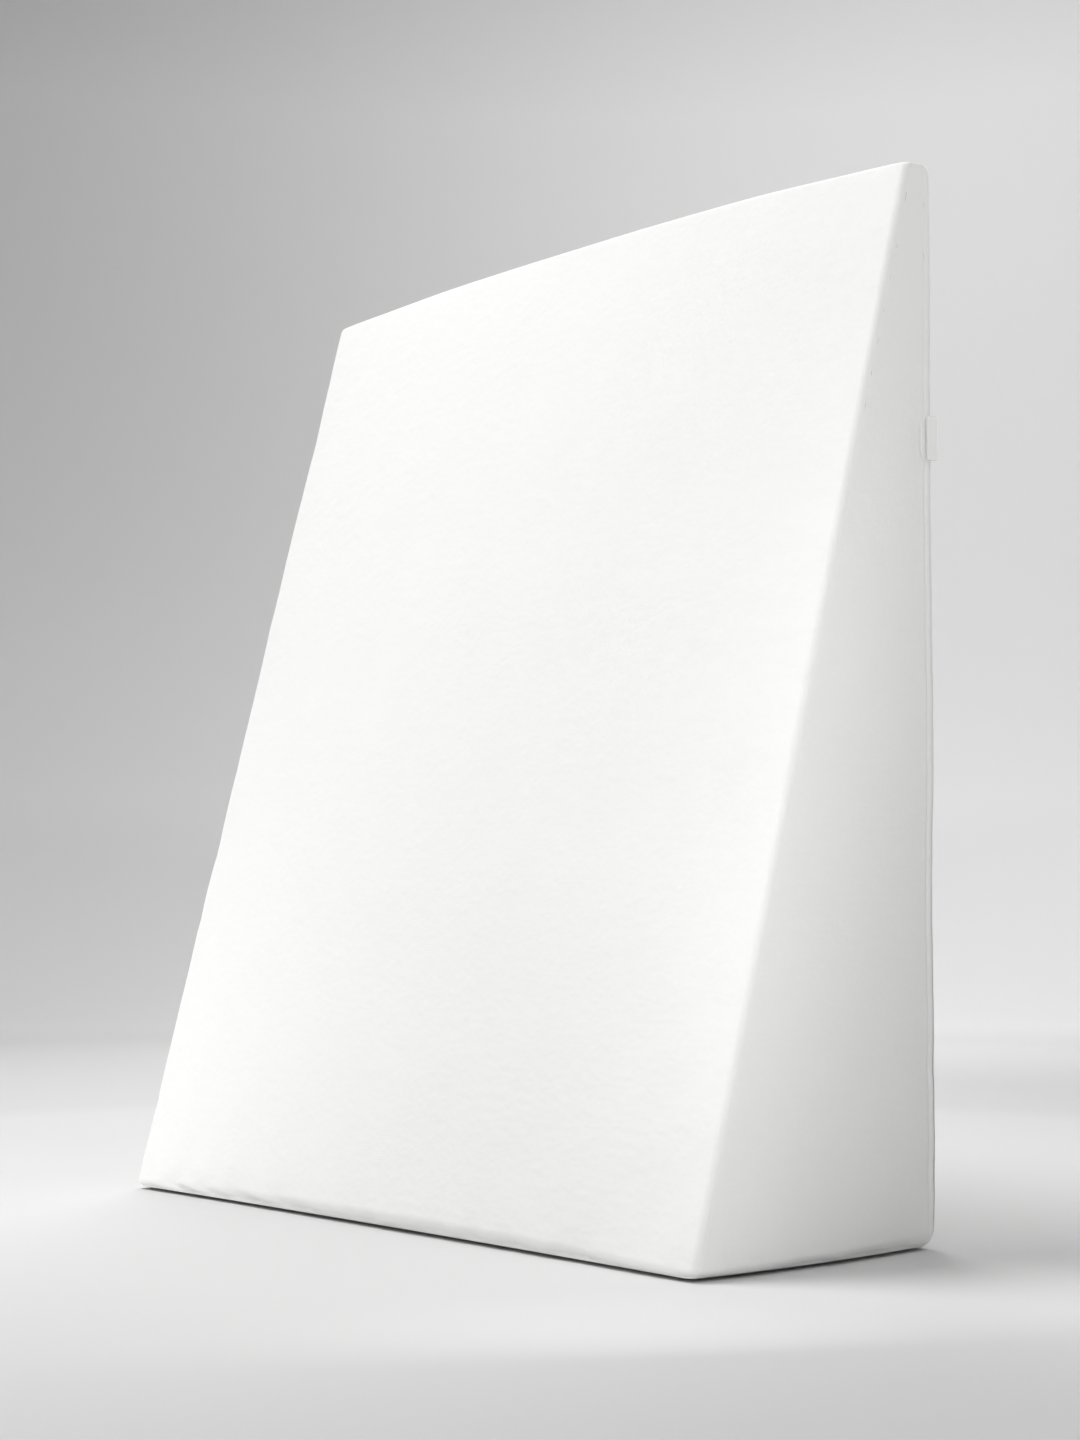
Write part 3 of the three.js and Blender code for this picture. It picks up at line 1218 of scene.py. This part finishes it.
@dataclass(frozen=True)
class PhotoCamera:
    """The camera at the photograph's viewing angle."""

    place: tuple[float, float, float] = (1.3073, -1.0840, 0.2214)
    yaw: float = math.radians(49.393)
    pitch: float = math.radians(1.934)
    focal_px: float = 2429.0
    centre_y_px: float = 815.3
    frame_px: tuple[int, int] = (1080, 1440)
    sensor: float = 36.0

    def build(self) -> bpy.types.Object:
        """Makes the camera. The lens follows from the focal length in pixels of the long side."""
        data = bpy.data.cameras.new("photo_camera")
        tall = self.frame_px[1]
        data.sensor_width = self.sensor
        data.lens = self.sensor * self.focal_px / tall
        data.shift_y = (self.centre_y_px - tall / 2) / tall
        data.clip_start, data.clip_end = 0.05, 50.0
        camera = linked("photo_camera", data)
        camera.location = self.place
        camera.rotation_euler = (QUARTER_TURN + self.pitch, 0.0, self.yaw)
        bpy.context.scene.camera = camera
        return camera


@dataclass(frozen=True)
class SoftLight:
    """A soft studio panel that faces the pillow, or else the place that is its target."""

    name: str
    azimuth: float
    elevation: float
    distance: float
    size: float
    power: float
    target: tuple[float, float, float] = (0.0, 0.0, 0.35)

    def build(self) -> bpy.types.Object:
        """Makes the panel. From its target, azimuth 0 is towards -Y and 90 towards +X."""
        data = bpy.data.lights.new(self.name, "AREA")
        data.shape, data.size, data.energy = "DISK", self.size, self.power
        panel = linked(self.name, data)
        turn, rise = math.radians(self.azimuth), math.radians(self.elevation)
        away = Vector(
            (math.sin(turn) * math.cos(rise), -math.cos(turn) * math.cos(rise), math.sin(rise))
        )
        panel.location = away * self.distance + Vector(self.target)
        panel.rotation_euler = away.to_track_quat("Z", "Y").to_euler()
        panel.visible_camera = False
        return panel


class Studio:
    """A pale round floor inside a grey cove, with soft panels of light."""

    LIGHTS = (
        SoftLight("high_left_front", -50.0, 68.0, 2.4, 1.4, 46.4),
        SoftLight("left_back", -130.0, 40.0, 2.4, 1.4, 26.4),
        SoftLight("low_left_front", -40.0, -19.0, 0.7, 0.3, 0.8),
        SoftLight("near_front", -10.0, 38.0, 0.9, 0.5, 1.45),
        SoftLight("low_right_front", 60.0, -14.5, 0.6, 0.25, 0.31),
        SoftLight("low_right", 70.0, -14.5, 0.6, 0.25, 0.08),
        SoftLight("near_right", 75.0, 9.6, 0.6, 0.25, 0.3),
        SoftLight("high_right", 90.0, 38.0, 0.9, 0.4, 0.86),
        SoftLight("rear_right", 155.0, 35.0, 1.2, 0.4, 1.5),
        SoftLight("wall_high", 34.0, 20.0, 1.6, 1.2, 8.3, (-1.9, 2.8, 1.4)),
        SoftLight("wall_low", 34.0, 30.0, 1.6, 1.2, 6.2, (-1.9, 2.8, 0.4)),
    )
    SPARES_FLOOR = ("low_left_front",)

    def __init__(self) -> None:
        """Sets the sizes of the floor and the cove."""
        self.floor_drop = 0.1 * MM
        self.floor_radius = 0.95
        self.floor_tone = 0.68
        self.beyond_tone = 0.64
        self.floor_fade = 0.08
        self.wall_fade = (2.1, 2.8)
        self.wall_tone = 0.7
        self.wall_dark_height = 1.15
        self.wall_rise = 0.25
        self.wall_most = 0.83
        self.cove_radius = 3.4
        self.cove_round = 0.7
        self.cove_height = 4.2
        self.world_strength = 0.0
        self.steps_around = 96
        self.steps_flat = 11
        self.steps_round = 16

    def backdrop(self) -> bpy.types.Object:
        """One surface of revolution: flat floor, a round, then an upright wall."""
        turn = np.linspace(0, QUARTER_TURN, self.steps_round)
        flat = self.cove_radius - self.cove_round
        rings = np.linspace(0, flat, self.steps_flat, endpoint=False)
        bend = flat + self.cove_round * np.sin(turn)
        radius = np.concatenate([rings, bend, [self.cove_radius]])
        rise = self.cove_round * (1 - np.cos(turn))
        height = np.concatenate([0 * rings, rise, [self.cove_height]])
        around = np.arange(self.steps_around) * (2 * math.pi / self.steps_around)
        x, y = radius[:, None] * np.cos(around), radius[:, None] * np.sin(around)
        grid = np.stack([x, y, (height - self.floor_drop)[:, None] + 0 * around], axis=-1)
        cove = closed_mesh("studio_cove", grid, grid)
        cove.data.materials.append(self.paint())
        return cove

    def paint(self) -> bpy.types.Material:
        """Matt paint: a pale round floor, a little greyer past its edge, under a lighter wall.

        The wall's tone is lowest at wall_dark_height and rises with the square of the height from
        there, up to wall_most. This is painted shade and light: the wall is darker at mid-height
        and lighter above and below.
        """
        matt = {"Roughness": 0.95, "Specular IOR Level": 0.1}
        material, graph, shader = new_material("studio_paint", matt)
        place = graph.add("ShaderNodeTexCoord").outputs["Object"]
        length = graph.add("ShaderNodeVectorMath", {0: place}, operation="LENGTH")
        distance = length.outputs["Value"]
        inner, outer = self.floor_radius - self.floor_fade, self.floor_radius + self.floor_fade
        beyond = graph.remap(distance, inner, outer, 0.0, 1.0)
        change = self.beyond_tone - self.floor_tone
        floor = graph.math("MULTIPLY_ADD", beyond, change, self.floor_tone)
        height = graph.add("ShaderNodeSeparateXYZ", {0: place}).outputs[2]
        # Painted shade on the wall, darkest at wall_dark_height and lighter above and below it.
        off = graph.math("SUBTRACT", height, self.wall_dark_height)
        square = graph.math("MULTIPLY", off, off)
        wall = graph.math("MULTIPLY_ADD", square, self.wall_rise, self.wall_tone)
        wall = graph.math("MINIMUM", wall, self.wall_most)
        up = graph.remap(distance, *self.wall_fade, 0.0, 1.0)
        gain = graph.math("MULTIPLY", up, graph.math("SUBTRACT", wall, floor))
        graph.join(graph.math("ADD", floor, gain), shader.inputs["Base Color"])
        return material

    def spared(self, cove: bpy.types.Object) -> bpy.types.Collection:
        """A group that keeps a light off the cove, as a studio's flag does.

        Args:
            cove: The floor and wall.

        Returns:
            The group that a light's linking takes.
        """
        group = bpy.data.collections.new("flagged_off")
        group.objects.link(cove)
        group.collection_objects[0].light_linking.link_state = "EXCLUDE"
        return group

    def build(self) -> None:
        """Makes the cove and the panels of light."""
        spared = self.spared(self.backdrop())
        world = bpy.data.worlds.new("studio_air")
        world.use_nodes = True
        air = world.node_tree.nodes["Background"]
        air.inputs["Strength"].default_value = self.world_strength
        bpy.context.scene.world = world
        for light in self.LIGHTS:
            panel = light.build()
            if light.name in self.SPARES_FLOOR:
                panel.light_linking.receiver_collection = spared
        bpy.context.scene.view_settings.view_transform = "Standard"


def report(piece: bpy.types.Object) -> None:
    """Logs a piece's name, triangles and size in millimetres."""
    piece.data.calc_loop_triangles()
    size = tuple(round(side / MM, 1) for side in piece.dimensions)
    log.info("%s: %d triangles, %s mm", piece.name, len(piece.data.loop_triangles), size)


def main() -> None:
    """Builds the camera, the studio, the pillow and its label."""
    logging.basicConfig(level=logging.INFO, format="%(name)s: %(message)s")
    PhotoCamera().build()
    Studio().build()
    report(WedgePillow(Steps(), SettledCover(), SeamRelief()).build(CoverKnit()))
    report(SideLabel().build(LabelTape()))


if __name__ == "__main__":
    main()
